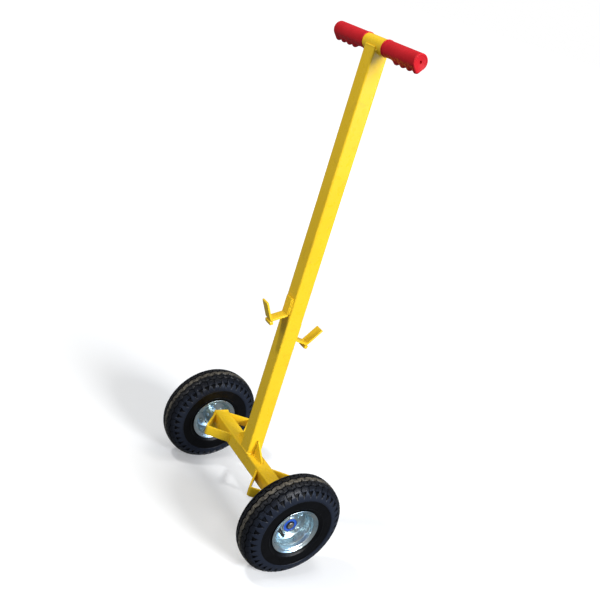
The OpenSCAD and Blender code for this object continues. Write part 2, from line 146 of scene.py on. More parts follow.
def mend(piece, crease, join=True):
    """Joins doubled points if join, turns faces outward and keeps edges sharper than crease degrees."""
    bm = bmesh.new()
    bm.from_mesh(piece.data)
    if join:
        bmesh.ops.remove_doubles(bm, verts=bm.verts, dist=2e-6)
        bmesh.ops.dissolve_degenerate(bm, edges=bm.edges, dist=1e-7)
    bmesh.ops.recalc_face_normals(bm, faces=bm.faces)
    limit = math.radians(crease)
    for edge in bm.edges:
        edge.smooth = edge.calc_face_angle(0) < limit
    bm.to_mesh(piece.data)
    bm.free()
    return piece


def grid_faces(rows, columns, closed=True):
    """Quads between rows of points, each row a ring; closed also joins the last row to the first."""
    faces = []
    for i in range(rows if closed else rows - 1):
        k = (i + 1) % rows
        for j in range(columns):
            m = (j + 1) % columns
            faces.append((i * columns + j, i * columns + m, k * columns + m, k * columns + j))
    return faces


def renumbered(faces, start):
    """The same faces on points that are numbered from start."""
    return [tuple(k + start for k in face) for face in faces]


def clamp(value, low=0, high=1):
    """value, kept between low and high."""
    return min(high, max(low, value))


def rounded(points, radius, steps=6):
    """A line with its inner corners turned into arcs of this radius, or less where room is short."""
    points = [Vector(p) for p in points]
    out = [points[0]]
    for before, corner, after in zip(points, points[1:], points[2:]):
        a, b = before - corner, after - corner
        turn = math.pi - a.angle(b)
        if turn < math.radians(3):
            out.append(corner)
            continue
        cut = min(radius * math.tan(turn / 2), 0.45 * a.length, 0.45 * b.length)
        reach = cut / math.tan(turn / 2)
        first, last = a.normalized(), b.normalized()
        centre = corner + (first + last).normalized() * math.hypot(cut, reach)
        start, end = corner + first * cut - centre, corner + last * cut - centre
        for k in range(steps + 1):
            out.append(centre + start.normalized().slerp(end.normalized(), k / steps) * start.length)
    out.append(points[-1])
    return out


def rounded_profile(points, radius, steps=4):
    """The same for a profile of (u, r) pairs in millimetres."""
    return [(p.x, p.y) for p in rounded([(u, r, 0) for u, r in points], radius, steps)]


def wheel_point(side, u, r, a):
    """u outward from the wheel's middle plane, r from the axle, a round it from +Y towards +Z."""
    return Vector((side * (WHEEL_X + u), r * math.cos(a), AXLE_Z + r * math.sin(a)))


def turned_mesh(side, profile, columns, centre=(0, 0), radius_at=None):
    """Points and faces of a closed (u, r) profile in millimetres, turned about a line along the axle."""
    r0, a0 = centre
    hub = wheel_point(side, 0, r0 * MM, a0)
    verts = []
    for row, (u, r) in enumerate(profile):
        for j in range(columns):
            a = 2 * math.pi * j / columns
            reach = radius_at(row, u, r, a) if radius_at else r
            verts.append(hub + Vector((side * u, reach * math.cos(a), reach * math.sin(a))) * MM)
    return verts, grid_faces(len(profile), columns)


def turned(name, side, profile, columns, slot, places=((0, 0),), radius_at=None, crease=180):
    """A turned piece of a wheel, or several alike in one piece at places (r, a) round the axle."""
    verts, faces = [], []
    for place in places:
        v, f = turned_mesh(side, profile, columns, place, radius_at)
        faces += renumbered(f, len(verts))
        verts += v
    return mend(add_piece(name, verts, faces, slot, SIDES[side] + "_wheel"), crease)


def swept(name, shapes, crease):
    """One painted piece from closed sweeps. A station is (centre, first axis, second axis, section)."""
    verts, faces = [], []
    for stations in shapes:
        n = len(stations[0][3])
        last = (len(stations) - 1) * n
        tube = grid_faces(len(stations), n, closed=False)
        tube.append(tuple(reversed(range(n))))
        tube.append(tuple(last + j for j in range(n)))
        faces += renumbered(tube, len(verts))
        for centre, first, second, section in stations:
            verts += [centre + first * p + second * q for p, q in section]
    return mend(add_piece(name, verts, faces, "yellow_paint"), crease)


# ---------- flat bars ----------

def box_section(width, thickness, radius, steps=3):
    """Section of a flat bar with rolled corners, first axis across its width."""
    section = []
    for sx, sy, start in ((1, 1, 0), (-1, 1, 90), (-1, -1, 180), (1, -1, 270)):
        for k in range(steps + 1):
            a = math.radians(start + 90 * k / steps)
            section.append((sx * (width / 2 - radius) + radius * math.cos(a),
                            sy * (thickness / 2 - radius) + radius * math.sin(a)))
    return section


def flat_bar(points, across, width=BAR_WIDTH, thickness=BAR_THICKNESS):
    """Stations of a bar that follows the points, its width along the axis across and its ends softened."""
    line = rounded(points, BEND_R, 10)
    directions = [(b - a).normalized() for a, b in zip(line, line[1:])]
    stations = []
    for i, centre in enumerate(line):
        before = directions[max(0, i - 1)]
        after = directions[min(i, len(directions) - 1)]
        along = (before + after).normalized()
        normal = across.cross(along) / along.dot(after)
        stations.append((centre, across, normal, box_section(width, thickness, BAR_EDGE)))

    def softened(station, inward):
        centre, first, second, _ = station
        out = []
        for degrees in (90, 60, 30, 0):
            a = math.radians(degrees)
            cut = 2 * BAR_EDGE * (1 - math.cos(a))
            section = box_section(width - cut, thickness - cut, BAR_EDGE)
            out.append((centre + inward * BAR_EDGE * (1 - math.sin(a)), first, second, section))
        return out

    start = softened(stations[0], directions[0])
    end = softened(stations[-1], -directions[-1])
    return start + stations[1:-1] + end[::-1]


def make_brackets():
    """Four open V brackets of flat bar on the faces of the cross tube."""
    for name, (sx, sy, point) in BRACKETS.items():
        foot = Vector((sx * BRACKET_FEET[0], sy * POLE_HALF, TUBE_MID))
        tip = Vector((sx * point, sy * BRACKET_REACH, TUBE_MID))
        end = Vector((sx * BRACKET_FEET[1], sy * POLE_HALF, TUBE_MID))
        start = foot + (foot - tip).normalized() * BRACKET_BURY
        finish = end + (end - tip).normalized() * BRACKET_BURY
        bar = swept(name + "_bar", [flat_bar([start, tip, finish], Z)], BAR_CREASE)
        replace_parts(bar, name)


def hook_point(side, s, z):
    """A point in a hook's plane, s outward from the pole's middle."""
    return Vector((0, side * s, z))


def make_hooks():
    """Two hooks of bent flat bar on the pole, each with a short square bar under its bend."""
    root = POLE_HALF + BAR_THICKNESS / 2
    drop = BAR_THICKNESS / 2 + HOOK_BAR / 2
    half = X * BAR_WIDTH / 2
    for name, (side, height, fall, rise, arm, more) in HOOKS.items():
        fall, rise = math.radians(fall), math.radians(rise)
        bend = (root + arm * math.cos(fall), height - arm * math.sin(fall))
        tip = (bend[0] + HOOK_TIP * math.cos(rise), bend[1] + HOOK_TIP * math.sin(rise))
        line = [hook_point(side, root, height + HOOK_FOOT), hook_point(side, root, height),
                hook_point(side, *bend), hook_point(side, *tip)]
        hook = swept(name + "_hook_strap", [flat_bar(line, X)], BAR_CREASE)
        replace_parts(hook, name + "_hook")

        along = arm + more
        middle = hook_point(side, root + along * math.cos(fall) - drop * math.sin(fall),
                            height - along * math.sin(fall) - drop * math.cos(fall))
        arm_way = hook_point(side, math.cos(fall), -math.sin(fall))
        stop = flat_bar([middle - half, middle, middle + half], arm_way, HOOK_BAR, HOOK_BAR)
        piece = swept(name + "_hook_stop", [stop], BAR_CREASE)
        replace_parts(piece, name + "_hook_bar")


def plate(name, outline, depth):
    """A painted flat plate: an outline of points, thickened by the vector depth, with rolled edges."""
    bm = bmesh.new()
    face = bm.faces.new([bm.verts.new(p) for p in outline])
    out = bmesh.ops.extrude_face_region(bm, geom=[face])
    moved = [v for v in out["geom"] if isinstance(v, bmesh.types.BMVert)]
    bmesh.ops.translate(bm, verts=moved, vec=depth)
    bmesh.ops.recalc_face_normals(bm, faces=bm.faces)
    corners = [e for e in bm.edges if e.calc_face_angle(0) > math.radians(35)]
    bmesh.ops.bevel(bm, geom=corners, offset=PLATE_EDGE, segments=3, profile=0.5, affect="EDGES",
                    clamp_overlap=True)
    mesh = bpy.data.meshes.new(name)
    bm.to_mesh(mesh)
    bm.free()
    piece = dress(name, mesh, "yellow_paint", "frame")
    piece.modifiers.new("weighted", "WEIGHTED_NORMAL").keep_sharp = True
    return piece


def make_gussets():
    """A triangular gusset on each side of the pole's foot."""
    inner, outer = POLE_HALF - PLATE_SINK, POLE_HALF + GUSSET_LENGTH
    low, high = TUBE_TOP - PLATE_SINK, TUBE_TOP + GUSSET_HEIGHT
    outline = [(inner, low), (outer, low), (outer, TUBE_TOP + GUSSET_NOSE),
               (POLE_HALF + GUSSET_NOSE, high), (inner, high)]
    for side, word in SIDES.items():
        points = [Vector((side * x, -BAR_THICKNESS / 2, z)) for x, z in outline]
        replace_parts(plate(word + "_gusset_plate", points, Y * BAR_THICKNESS), word + "_gusset")


def make_end_plates():
    """A drop plate on each end of the cross tube, square at the top and round about the axle."""
    steps = 40
    arc = [math.pi + math.pi * k / steps for k in range(steps + 1)]
    outline = [(POLE_HALF * math.cos(a), AXLE_Z + POLE_HALF * math.sin(a)) for a in arc]
    outline += [(POLE_HALF, TUBE_TOP), (-POLE_HALF, TUBE_TOP)]
    for side, word in SIDES.items():
        points = [Vector((side * TUBE_END, y, z)) for y, z in outline]
        piece = plate(word + "_drop_plate", points, X * side * (PLATE_OUT - TUBE_END))
        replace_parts(piece, word + "_end_plate")


# ---------- weld beads ----------

BEAD_STEP = 0.45 * MM
BEAD_PITCH = 2.4 * MM
BEAD_SIDES = 14
BEAD_INSET = 3 * MM
BEAD_CREASE = 75
WELD_TOP = TUBE_TOP + 0.3 * MM
WELD_SIDE = POLE_HALF + 0.5 * MM


def bead(points, radius, seed, bend=2.5 * MM):
    """Stations of a weld bead along the points: uneven, overlapping ripples, closed at both ends."""
    line = rounded(points, bend, 6)
    lengths = [0]
    for a, b in zip(line, line[1:]):
        lengths.append(lengths[-1] + (b - a).length)
    total = lengths[-1]
    count = max(6, round(total / BEAD_STEP))
    stations, index = [], 0
    along = (line[1] - line[0]).normalized()
    first = along.orthogonal().normalized()
    for i in range(count + 1):
        s = total * i / count
        while index < len(line) - 2 and lengths[index + 1] < s:
            index += 1
        share = (s - lengths[index]) / (lengths[index + 1] - lengths[index])
        centre = line[index].lerp(line[index + 1], share)
        along = (line[index + 1] - line[index]).normalized()
        first = (first - along * first.dot(along)).normalized()
        second = along.cross(first)
        end = min(1, (min(s, total - s) + 0.12 * radius) / radius)
        taper = math.sqrt(1 - (1 - end) ** 2)
        drift = noise.noise(centre * 160 + Vector((seed, 0, 0)))
        size = radius * taper * (1 + 0.16 * drift)
        section = []
        for k in range(BEAD_SIDES):
            a = 2 * math.pi * k / BEAD_SIDES
            crest = (s / BEAD_PITCH + 0.18 * math.cos(a - 0.6) + 0.15 * drift) % 1
            reach = size * (0.9 + 0.13 * math.sin(math.pi * crest) ** 0.7)
            section.append((reach * math.cos(a), reach * math.sin(a)))
        stations.append((centre, first, second, section))
    return stations


def ring(centre, radius, start, turn, steps=48):
    """Points on an arc round a line along the axle, angles in degrees from +Y towards +Z."""
    out = []
    for k in range(steps + 1):
        a = math.radians(start + turn * k / steps)
        out.append(centre + Y * radius * math.cos(a) + Z * radius * math.sin(a))
    return out


# Each of these functions gives a list of beads. Distances under 1 mm are how far a bead's middle stands off
# the steel, or lies in it.

def pole_foot_beads():
    """Round the pole's foot on the cross tube."""
    x, y = WELD_SIDE, POLE_HALF - 0.9 * MM
    corners = [(0, y), (x, y), (x, -y), (-x, -y), (-x, y), (0.4 * MM, y)]
    return [bead([Vector((p, q, WELD_TOP)) for p, q in corners], 2.9 * MM, 1, bend=5 * MM)]


def gusset_beads():
    """Along both faces of each gusset, on the cross tube and up the pole."""
    y = BAR_THICKNESS / 2 + 0.5 * MM
    run = [(POLE_HALF + GUSSET_LENGTH - BEAD_INSET, WELD_TOP), (WELD_SIDE + 1 * MM, WELD_TOP),
           (WELD_SIDE, TUBE_TOP + GUSSET_HEIGHT - BEAD_INSET)]
    beads = []
    for side in SIDES:
        for front in (1, -1):
            line = [Vector((side * x, front * y, z)) for x, z in run]
            beads.append(bead(line, 2.1 * MM, 3 + side + 0.4 * front))
    return beads


def hook_foot_beads():
    """Up both edges of each hook's foot."""
    x, y = BAR_WIDTH / 2 + 0.4 * MM, POLE_HALF + 0.9 * MM
    beads = []
    for side, height, *_ in HOOKS.values():
        for left in (1, -1):
            ends = (height + BEAD_INSET, height + HOOK_FOOT - BEAD_INSET)
            line = [Vector((left * x, side * y, z)) for z in ends]
            beads.append(bead(line, 2.2 * MM, 7 + side + 0.3 * left))
    return beads


def bracket_foot_beads():
    """Up both sides of each bracket's two feet; the outer feet stop short of the end plate."""
    y = POLE_HALF + 0.4 * MM
    ends = (TUBE_MID - BAR_WIDTH / 2 + 1 * MM, TUBE_MID + BAR_WIDTH / 2 - 1 * MM)
    beads = []
    for sx, sy, point in BRACKETS.values():
        for foot in BRACKET_FEET:
            slope = math.atan2(BRACKET_REACH - POLE_HALF, abs(point - foot))
            off = BAR_THICKNESS / 2 / math.sin(slope) + 0.7 * MM
            if foot == BRACKET_FEET[1]:
                off = min(off, PLATE_OUT - foot - BEAD_INSET)
            for left in (1, -1):
                x = sx * (foot + left * off)
                line = [Vector((x, sy * y, z)) for z in ends]
                beads.append(bead(line, 2.1 * MM, 11 + 3 * x + sy))
    return beads


def end_plate_beads():
    """Over the top, down both sides and along the bottom of the cross tube's ends."""
    y, top, low = POLE_HALF - 0.5 * MM, TUBE_TOP - 0.5 * MM, TUBE_BOTTOM - 0.2 * MM
    beads = []
    for side in SIDES:
        x = side * (TUBE_END + 0.2 * MM)
        for k, way in enumerate((1, -1)):
            line = [Vector((x, p, q)) for p, q in ((0, top), (way * y, top), (way * y, low + 1 * MM))]
            beads.append(bead(line, 1.7 * MM, 17 + k + side, bend=4 * MM))
        line = [Vector((x - side * 0.4 * MM, p, low)) for p in (-y + 2 * MM, y - 2 * MM)]
        beads.append(bead(line, 2.2 * MM, 23 + side))
    return beads


def axle_beads():
    """Round each stub axle: nearly all the way outside its plate, and over the lower part inside."""
    beads = []
    for side in SIDES:
        for at, start, turn in ((PLATE_OUT + 0.3 * MM, 0, 352), (TUBE_END - 0.3 * MM, 195, 150)):
            line = ring(Vector((side * at, 0, AXLE_Z)), 8.9 * MM, start, turn)
            beads.append(bead(line, 2.3 * MM, 29 + side, bend=0.1 * MM))
    return beads


def sleeve_beads():
    """Where the handle's sleeve lies on the pole: along its front and back, and round both sides."""
    beads = []
    for side in SIDES:
        line = [Vector((x, side * 18.2 * MM, HANDLE_Z - 5.6 * MM)) for x in (-18 * MM, 18 * MM)]
        beads.append(bead(line, 2.4 * MM, 31 + side))
        centre = Vector((side * (POLE_HALF + 0.3 * MM), 0, HANDLE_Z))
        beads.append(bead(ring(centre, SLEEVE_R + 0.7 * MM, 209, 122), 2.3 * MM, 37 + side, bend=0.1 * MM))
    return beads


def make_welds():
    """Beads at every welded joint of the frame."""
    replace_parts(swept("pole_foot_bead", pole_foot_beads(), BEAD_CREASE), "pole_base_weld")
    swept("gusset_beads", gusset_beads(), BEAD_CREASE)
    swept("hook_foot_beads", hook_foot_beads(), BEAD_CREASE)
    swept("bracket_foot_beads", bracket_foot_beads(), BEAD_CREASE)
    swept("end_plate_beads", end_plate_beads(), BEAD_CREASE)
    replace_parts(swept("axle_beads", axle_beads(), BEAD_CREASE), "axle_welds")
    swept("sleeve_beads", sleeve_beads(), BEAD_CREASE)


# ---------- grips ----------

GRIP_START, GRIP_END = grip_low.x, grip_high.x
GRIP_R = grip_high.y
GRIP_KEEL = HANDLE_Z - grip_low.z
RIDGE_PITCH = 23 * MM
FIRST_RIDGE = 150 * MM
GRIP_NOSE = 6.5 * MM
KEEL_REST = 2.0 * MM
KEEL_START, KEEL_BLEND = 62 * MM, 11 * MM
GRIP_COLUMNS = 112
GRIP_CREASE = 60
BORE_END = 149 * MM
VENT_END = 150.5 * MM
CLOSING_R = 0.05 * MM


def grip_reach(x, phi):
    """Distance from the grip's axis to its skin, phi from straight down: a circle with a rounded keel."""
    wave = 0.5 + 0.5 * math.cos(2 * math.pi * (x - FIRST_RIDGE) / RIDGE_PITCH)
    start = clamp((x - KEEL_START) / KEEL_BLEND)
    blend = start * start * (3 - 2 * start)
    keel = GRIP_R + blend * (KEEL_REST + (GRIP_KEEL - GRIP_R - KEEL_REST) * wave ** 0.8)
    d = keel - GRIP_NOSE
    phi = abs((phi + math.pi) % (2 * math.pi) - math.pi)
    if d <= GRIP_R - GRIP_NOSE + 1e-6:
        return GRIP_R
    lean = math.acos((GRIP_R - GRIP_NOSE) / d)
    corner = math.atan2(GRIP_NOSE * math.sin(lean), d + GRIP_NOSE * math.cos(lean))
    if phi <= corner:
        return d * math.cos(phi) + math.sqrt(GRIP_NOSE ** 2 - (d * math.sin(phi)) ** 2)
    if phi < lean:
        return GRIP_R / math.cos(lean - phi)
    return GRIP_R


def grip_rows():
    """Rows (x, radius, scale) from a grip's bore to its vent; at radius 0 the moulded section is scaled."""
    collar = GRIP_R + 1.0 * MM
    inner_end = [(0.4, BAR_R, 0), (0, BAR_R + 0.5 * MM, 0), (0, collar - 1.2 * MM, 0),
                 (0.35, collar - 0.4 * MM, 0), (1.1, collar, 0), (3.2, collar, 0),
                 (3.9, collar - 0.35 * MM, 0), (4.3, 0, 0.985), (5.2, 0, 0.995)]
    outer_end = [(1.7, 0, 0.99), (0.9, 0, 0.965), (0.3, 0, 0.925), (0, 0, 0.87), (0.1, 0, 0.80),
                 (0.8, 0, 0.745), (1.0, 0, 0.70), (1.0, 3.9 * MM, 0), (1.3, 3.1 * MM, 0),
                 (2.0, 2.8 * MM, 0)]
    count = round((GRIP_END - GRIP_START - 9 * MM) / (1.1 * MM))
    rows = [(BORE_END, CLOSING_R, 0), (BORE_END, BAR_R, 0)]
    rows += [(GRIP_START + at * MM, radius, scale) for at, radius, scale in inner_end]
    for k in range(count + 1):
        rows.append((GRIP_START + 6 * MM + (GRIP_END - GRIP_START - 8.6 * MM) * k / count, 0, 1))
    rows += [(GRIP_END - at * MM, radius, scale) for at, radius, scale in outer_end]
    return rows + [(VENT_END, 2.7 * MM, 0), (VENT_END, CLOSING_R, 0)]


def make_grips():
    """Moulded hand grips: finger waves underneath, a collar at the inner end and a vent in the outer end."""
    rows = grip_rows()
    last = (len(rows) - 1) * GRIP_COLUMNS
    faces = grid_faces(len(rows), GRIP_COLUMNS, closed=False)
    faces.append(tuple(range(GRIP_COLUMNS)))
    faces.append(tuple(last + j for j in range(GRIP_COLUMNS)))
    for side, word in SIDES.items():
        verts = []
        for x, radius, scale in rows:
            for j in range(GRIP_COLUMNS):
                phi = 2 * math.pi * j / GRIP_COLUMNS
                reach = radius or grip_reach(x, phi) * scale
                verts.append(Vector((side * x, reach * math.sin(phi), HANDLE_Z - reach * math.cos(phi))))
        grip = mend(add_piece(word + "_moulded_grip", verts, faces, "red_grip"), GRIP_CREASE)
        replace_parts(grip, word + "_grip")


# ---------- tyres ----------

CROWN = [
    (0, 130), (7, 129.65), (14, 128.6), (18, 127.7), (21, 126.4), (24, 123.8), (28, 119.7),
    (32.5, 114), (35.5, 109), (37, 105), (38, 101), (38.6, 98),
]
WALL = [
    (39.0, 95.5), (39.0, 93.6), (38.7, 92.6), (37.4, 91.8), (37.1, 89.5), (37.3, 85), (37.3, 81),
    (37.1, 77.5), (37.0, 74.5), (36.6, 72.2), (36.9, 71.4), (36.7, 70.2), (35.4, 69.2), (34.2, 67.2),
    (32.6, 64.5), (30.9, 61.5), (29.6, 58), (29.0, 55), (27.6, 52.9), (20.2, 52.2),
]
CAVITY = [(20.9, 55.6), (27, 66), (31.8, 78), (32.6, 92), (26, 109), (0, 118)]
# each groove's distance from the middle, half width at the top, half width at the bottom, depth
GROOVES = ((6.5, 1.7, 1.0, 5.6), (19.0, 1.5, 0.9, 5.2))
ZIGZAG = 1.25
NOTCH_FROM, NOTCH_TO = 31.6, 38.2
NOTCH_DEPTH = 5.2
SIPE_DEPTH = 4.2
SIPE_REACH = 4.4
ZIGZAG_END, ZIGZAG_FADE = 25.5, 4
NOTCH_LEAN = math.radians(50)
NOTCH_BLUR = 0.05
SHOULDER_DUST, WALL_DUST = 0.01, 0.004
REPEAT_COLUMNS = 24
TYRE_COLUMNS = TREAD_REPEATS * REPEAT_COLUMNS
TYRE_CREASE = 42


def crown_r(u):
    """Radius of the tread's outer skin at u."""
    u = abs(u)
    for (u0, r0), (u1, r1) in zip(CROWN, CROWN[1:]):
        if u <= u1:
            return r0 + (r1 - r0) * (u - u0) / (u1 - u0)
    return CROWN[-1][1]


def tread_rows():
    """Rows across half the tread pattern: (distance from its middle, depth, dust), grooves included."""
    rows = [(0, 0, 1), (0.8, 0, 1), (2.0, 0, 1), (3.3, 0, 1)]
    for k, (centre, top, bottom, depth) in enumerate(GROOVES):
        inner, outer = (1.0, 0.07) if k == 0 else (0.05, 0.01)
        rows += [(centre - top - 0.45, 0, inner), (centre - top, 0.35, inner * 0.8),
                 (centre - bottom, depth, 0.02), (centre + bottom, depth, 0.02),
                 (centre + top, 0.35, outer), (centre + top + 0.45, 0, outer)]
        if k == 0:
            rows += [(10.6, 0, 0.07), (12.6, 0, 0.07), (14.6, 0, 0.06), (16.0, 0, 0.05)]
    return rows + [(22.6, 0, 0.01), (24.2, 0, 0.01)]


def shoulder_rows(start):
    """Rows from the tread's edge at u to the sidewall: (u, r, share of the notch's depth, its half width)."""
    spots = [u for u in (26.4, 28.2) if u > start + 1]
    rows = [(u, crown_r(u), 0, 0) for u in spots + [NOTCH_FROM - 0.5]]
    steps = 8
    for k in range(steps + 1):
        t = k / steps
        u = NOTCH_FROM + (NOTCH_TO - NOTCH_FROM) * t ** 0.8
        rows.append((u, crown_r(u), (1 - t) ** 0.7, 0.27 * (1 - t) + 0.05))
    return rows + [(38.6, 98, 0, 0)]


def tyre_rows(side):
    """Rows round a tyre's whole section, as (kind, u, what that kind needs, dust)."""
    half = tread_rows()
    rows = [("tread", -u, depth, dust) for u, depth, dust in reversed(half)]
    rows += [("tread", u, depth, dust) for u, depth, dust in half[1:]]
    flanks = []
    for sign in (1, -1):
        edge = half[-1][0] + sign * side * TREAD_SHIFT
        flank = [("shoulder", sign * u, notch, SHOULDER_DUST) for u, *notch in shoulder_rows(edge)]
        flanks.append(flank + [("wall", sign * u, r, WALL_DUST) for u, r in WALL])
    cavity = [("wall", u, r, 0) for u, r in CAVITY] + [("wall", -u, r, 0) for u, r in CAVITY[-2::-1]]
    return rows + flanks[0] + cavity + flanks[1][::-1]


# Each of these functions gives a point's u and r, its dust, and how much painted sheen it gets: a bluish
# painted highlight that stands in for reflected sky light.

def tread_point(side, column, u, depth, dust):
    """A point of the ribs, waved by the zig-zag, with short sipes cut in from the edges of the grooves."""
    zig = 1 - 4 * abs((column % REPEAT_COLUMNS) / REPEAT_COLUMNS - 0.5)
    fade = clamp((ZIGZAG_END - abs(u)) / ZIGZAG_FADE)
    if depth < 1:
        way = zig if u > 0 else -zig
        for centre, top, _, _ in GROOVES:
            beyond = abs(u) - centre
            near = top < abs(beyond) < top + SIPE_REACH and abs(u) > 0.9
            if near and way * beyond > 0 and column % (REPEAT_COLUMNS // 2) < 2:
                depth, dust = SIPE_DEPTH, 0
    at = u + ZIGZAG * zig * fade + TREAD_SHIFT * side
    # The last value is the painted sheen: 0.3 on the rib tops, less on the groove edges, none in grooves and
    # sipes.
    return at, crown_r(at) - depth, dust, max(0, 0.3 - 0.2 * depth)


def shoulder_point(side, column, u, notch, dust):
    """A point of a shoulder with its leaning notches, which are clean inside; the painted sheen fades towards
    the crown and drops inside the notches as painted shade.
    """
    r, share, width = notch
    gap = abs((column % REPEAT_COLUMNS / REPEAT_COLUMNS + 0.25) % 1 - 0.5)
    cut = NOTCH_DEPTH * share * clamp((width - gap) / NOTCH_BLUR + 0.5)
    sign = 1 if u > 0 else -1
    at = u - sign * cut * math.sin(NOTCH_LEAN) * 0.75
    # Painted sheen of reflected sky light, less inside the notches as painted shade.
    painted_sheen = max(0, 1 - cut / 2) * clamp((124 - r) / 12, 0.3, 1)
    return at, r - cut * math.cos(NOTCH_LEAN), dust * (1 - 0.6 * min(1, cut)), painted_sheen


def wall_point(side, column, u, r, dust):
    """A point of the smooth sidewalls and of the inside; only the top band of the outer walls gets the
    painted sheen, as a painted highlight.
    """
    return u, r, dust, 0.9 if r > 92.5 and abs(u) > 38 else 0


TYRE_POINTS = {"tread": tread_point, "shoulder": shoulder_point, "wall": wall_point}


def make_tyres():
    """Air-filled tyres, each one closed shell: ribs with sipes, notched shoulders, stepped sidewalls."""
    for side, word in SIDES.items():
        rows = tyre_rows(side)
        verts, dusts, painted_sheens = [], [], []
        for kind, u, data, dust in rows:
            for j in range(TYRE_COLUMNS):
                at, r, shade, painted_sheen = TYRE_POINTS[kind](side, j, u, data, dust)
                verts.append(wheel_point(side, at * MM, r * MM, 2 * math.pi * j / TYRE_COLUMNS))
                dusts.append(shade)
                painted_sheens.append(painted_sheen)
        faces = grid_faces(len(rows), TYRE_COLUMNS)
        if side > 0:
            faces = [face[::-1] for face in faces]
        tyre = add_piece(word + "_tread_tyre", verts, faces, "tyre_rubber", word + "_wheel")
        # Each tyre carries its road dust and its painted sheen, a painted highlight of reflected sky light,
        # as point attributes.
        for label, values in (("dust", dusts), ("painted_sheen", painted_sheens)):
            tyre.data.attributes.new(label, "FLOAT", "POINT").data.foreach_set("value", values)
        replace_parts(mend(tyre, TYRE_CREASE, join=False), word + "_tyre")


# ---------- wheels ----------

RIM_PROFILE = [
    (0.05, 20.2), (0.05, 43.4), (1.6, 45.2), (15.6, 48.6), (17.6, 50.2), (19.4, 51.1), (27.4, 51.7),
    (28.8, 53), (30.1, 56.5), (31.6, 59.3), (33, 60.5), (34, 59.9), (33.8, 58.5), (32.2, 55.9),
    (30.8, 52.4), (29.2, 50.2), (27.4, 49.7), (19.9, 49.1), (19.2, 48.4), (16.2, 46.7), (2.9, 43.4),
    (2.05, 42.2), (2.05, 20.2),
]
BOLT_CIRCLE, VALVE_CIRCLE = 31.5, 27.5

# in degrees: a bolt on each side, from +Y towards +Z, and the valve from that bolt
BOLT_TURN = {1: 38, -1: 81}
VALVE_TURN = -180

# points round a turned piece, and the angles in degrees past which its edges stay sharp
BOLT_COLUMNS, RIM_COLUMNS, VALVE_COLUMNS, CAP_COLUMNS, SHIELD_COLUMNS = 48, 144, 48, 120, 96
BOLT_CREASE, RIM_CREASE, VALVE_CREASE, CAP_CREASE, SHIELD_CREASE = 25, 32, 38, 60, 40

# a hexagonal row is cut round at a radius of its own, and NO_CHAMFER leaves its corners whole
HEX_FLAT = 6.5
NO_CHAMFER = 9
HEAD_LOW, HEAD_HIGH = 2.05, 7.35
NUT_LOW, NUT_HIGH = -8.55, -2.05
THREAD_START, THREAD_PITCH, THREAD_TURNS = -10.3, 1.25, 10
SHIELD_PROFILE = [
    (5.6, 10.75), (6.4, 10.75), (6.85, 11.1), (6.9, 12.2), (6.55, 12.9), (6.4, 13.4), (6.45, 16.0),
    (6.8, 16.4), (6.85, 17.0), (6.5, 17.4), (5.6, 17.4),
]
# u of a point on the outer shield plus u of its mirror point on the inner one
SHIELDS_U = -43.6
VALVE_PROFILE = [
    (-4.0, 0.05), (-4.0, 3.6), (1.9, 3.7), (2.05, 6.0), (2.7, 6.1), (3.4, 5.4), (4.6, 4.4), (6.5, 4.1),
    (12.6, 3.9), (12.8, 3.1), (16.4, 3.0), (16.4, 0.05),
]
CAP_PROFILE = [
    (13.3, 3.15), (13.3, 3.6), (13.7, 3.85), (14.4, 3.9), (20.8, 3.9), (21.5, 3.75), (22.2, 3.3),
    (22.6, 2.5), (22.7, 1.5), (22.7, 0.05), (17, 0.05), (17, 3.1),
]
KNURLS, KNURL_DEPTH = 20, 0.22


def hexed(marks):
    """A radius_at that makes the rows in marks hexagonal, each cut round at the radius that marks gives."""
    def reach(row, u, r, a):
        if row not in marks:
            return r
        return min(HEX_FLAT / math.cos((a + math.pi / 6) % (math.pi / 3) - math.pi / 6), marks[row])
    return reach


def knurl(row, u, r, a):
    """A radius_at that gives the valve cap its fine ribs."""
    return r - KNURL_DEPTH * (0.5 + 0.5 * math.cos(KNURLS * a)) if 2 < row < 6 else r


def make_bolts(side, word):
    """Five hex bolts and nuts round each rim."""
    places = [(BOLT_CIRCLE, math.radians(BOLT_TURN[side] + 72 * k)) for k in range(5)]
    thread = []
    for k in range(THREAD_TURNS):
        crest = THREAD_START + THREAD_PITCH * k
        thread += [(crest, 3.95), (crest + 0.62, 3.4)]
    low, high = HEAD_LOW, HEAD_HIGH
    shank = [(u, r) for u, r in thread if u < low - 0.2]
    profile = [(-10.65, 0.05), (-10.65, 3.3)] + shank
    first = len(profile)
    profile += [(low, 4.0), (low, 6.2), (low + 0.4, 6.3), (low + 0.5, 7.0), (low + 0.9, 7.6),
                (high - 1.0, 7.6), (high - 0.55, 6.95), (high - 0.15, 6.3), (high, 5.7), (high, 0.05)]
    marks = {first + 3: 7.0, first + 4: NO_CHAMFER, first + 5: NO_CHAMFER, first + 6: 6.95}
    bolts = turned(word + "_hex_bolts", side, profile, BOLT_COLUMNS, "zinc_plate", places, hexed(marks),
                   BOLT_CREASE)
    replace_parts(bolts, word + "_rim_bolts")

    low, high = NUT_LOW, NUT_HIGH
    profile = [(low, 3.9), (low, 5.8), (low + 0.15, 6.3), (low + 0.55, 6.95), (low + 1.0, 7.6),
               (high - 1.0, 7.6), (high - 0.55, 6.95), (high - 0.15, 6.3), (high, 5.8), (high, 3.9)]
    marks = {3: 6.95, 4: NO_CHAMFER, 5: NO_CHAMFER, 6: 6.95}
    nuts = turned(word + "_hex_nuts", side, profile, BOLT_COLUMNS, "zinc_plate", places, hexed(marks),
                   BOLT_CREASE)
    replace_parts(nuts, word + "_rim_nuts")


